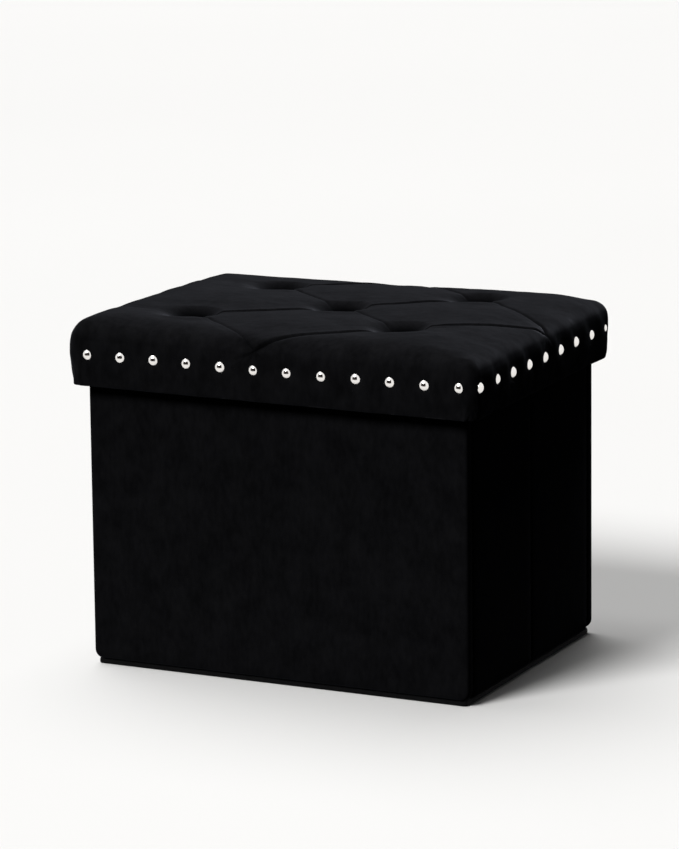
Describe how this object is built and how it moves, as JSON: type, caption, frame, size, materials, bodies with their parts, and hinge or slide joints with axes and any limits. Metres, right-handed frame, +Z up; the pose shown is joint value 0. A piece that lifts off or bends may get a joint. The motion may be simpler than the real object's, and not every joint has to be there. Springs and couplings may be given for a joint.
{
  "type": "folding storage ottoman",
  "caption": "Low velvet storage box with a lift-off, diamond-tufted cushion lid edged with domed nails, and end walls that fold in flat.",
  "frame": {"origin": "middle of the footprint, at the floor", "axes": "+X to the right along the long front, -Y out of the front, +Z up"},
  "size_m": [0.4376, 0.3356, 0.3489],
  "materials": {
    "velvet": "black pile velvet with a soft sheen",
    "lining_cloth": "plain black non-woven lining",
    "fibreboard": "raw medium-density fibreboard",
    "plywood": "raw poplar plywood",
    "foam": "open-cell upholstery foam",
    "twine": "waxed twine",
    "steel": "bright wire",
    "nickel": "polished nickel"
  },
  "bodies": {
    "base": {"base_board": "fibreboard", "base_cover": "lining_cloth", "base_lining": "lining_cloth", "back_board": "fibreboard", "back_cover": "velvet", "back_lining": "lining_cloth", "back_left_hinge": "velvet", "back_right_hinge": "velvet"},
    "left_rear_half": {"left_rear_board": "fibreboard", "left_rear_cover": "velvet", "left_rear_lining": "lining_cloth", "left_crease_hinge": "velvet"},
    "left_front_half": {"left_front_board": "fibreboard", "left_front_cover": "velvet", "left_front_lining": "lining_cloth"},
    "right_rear_half": {"right_rear_board": "fibreboard", "right_rear_cover": "velvet", "right_rear_lining": "lining_cloth", "right_crease_hinge": "velvet"},
    "right_front_half": {"right_front_board": "fibreboard", "right_front_cover": "velvet", "right_front_lining": "lining_cloth"},
    "front_wall": {"front_board": "fibreboard", "front_cover": "velvet", "front_lining": "lining_cloth", "front_left_hinge": "velvet", "front_right_hinge": "velvet"},
    "lid": {"lid_board": "plywood", "front_rim": "fibreboard", "back_rim": "fibreboard", "left_rim": "fibreboard", "right_rim": "fibreboard", "rim_brads": "steel", "foam_pad": "foam", "lid_cover": "velvet", "lid_lining": "lining_cloth", "tuft_buttons": "velvet", "tuft_twine": "twine", "tuft_washers": "steel", "front_nails": "nickel", "back_nails": "nickel", "left_nails": "nickel", "right_nails": "nickel"}
  },
  "joints": [
    {"name": "wall_fold", "type": "hinge", "parent": "base", "child": "right_rear_half", "pos_m": [0.1912, 0.1397, 0], "axis": [0, 0, 1], "range_deg": [-88, 0]},
    {"name": "right_crease", "type": "hinge", "parent": "right_rear_half", "child": "right_front_half", "pos_m": [0.2035, 0, 0], "axis": [0, 0, 1], "range_deg": [0, 176]},
    {"name": "front_right_fold", "type": "hinge", "parent": "right_front_half", "child": "front_wall", "pos_m": [0.1912, -0.1397, 0], "axis": [0, 0, 1], "range_deg": [-88, 0]},
    {"name": "left_rear_fold", "type": "hinge", "parent": "base", "child": "left_rear_half", "pos_m": [-0.1912, 0.1397, 0], "axis": [0, 0, 1], "range_deg": [0, 88]},
    {"name": "left_crease", "type": "hinge", "parent": "left_rear_half", "child": "left_front_half", "pos_m": [-0.2035, 0, 0], "axis": [0, 0, 1], "range_deg": [-176, 0]},
    {"name": "lid_lift", "type": "slide", "parent": "base", "child": "lid", "axis": [0, 0, 1], "range_m": [0, 0.15]}
  ],
  "couplings": [
    {"joint": "right_crease", "follows": "wall_fold", "ratio": -2},
    {"joint": "front_right_fold", "follows": "wall_fold", "ratio": 1},
    {"joint": "left_rear_fold", "follows": "wall_fold", "ratio": -1},
    {"joint": "left_crease", "follows": "wall_fold", "ratio": 2}
  ]
}
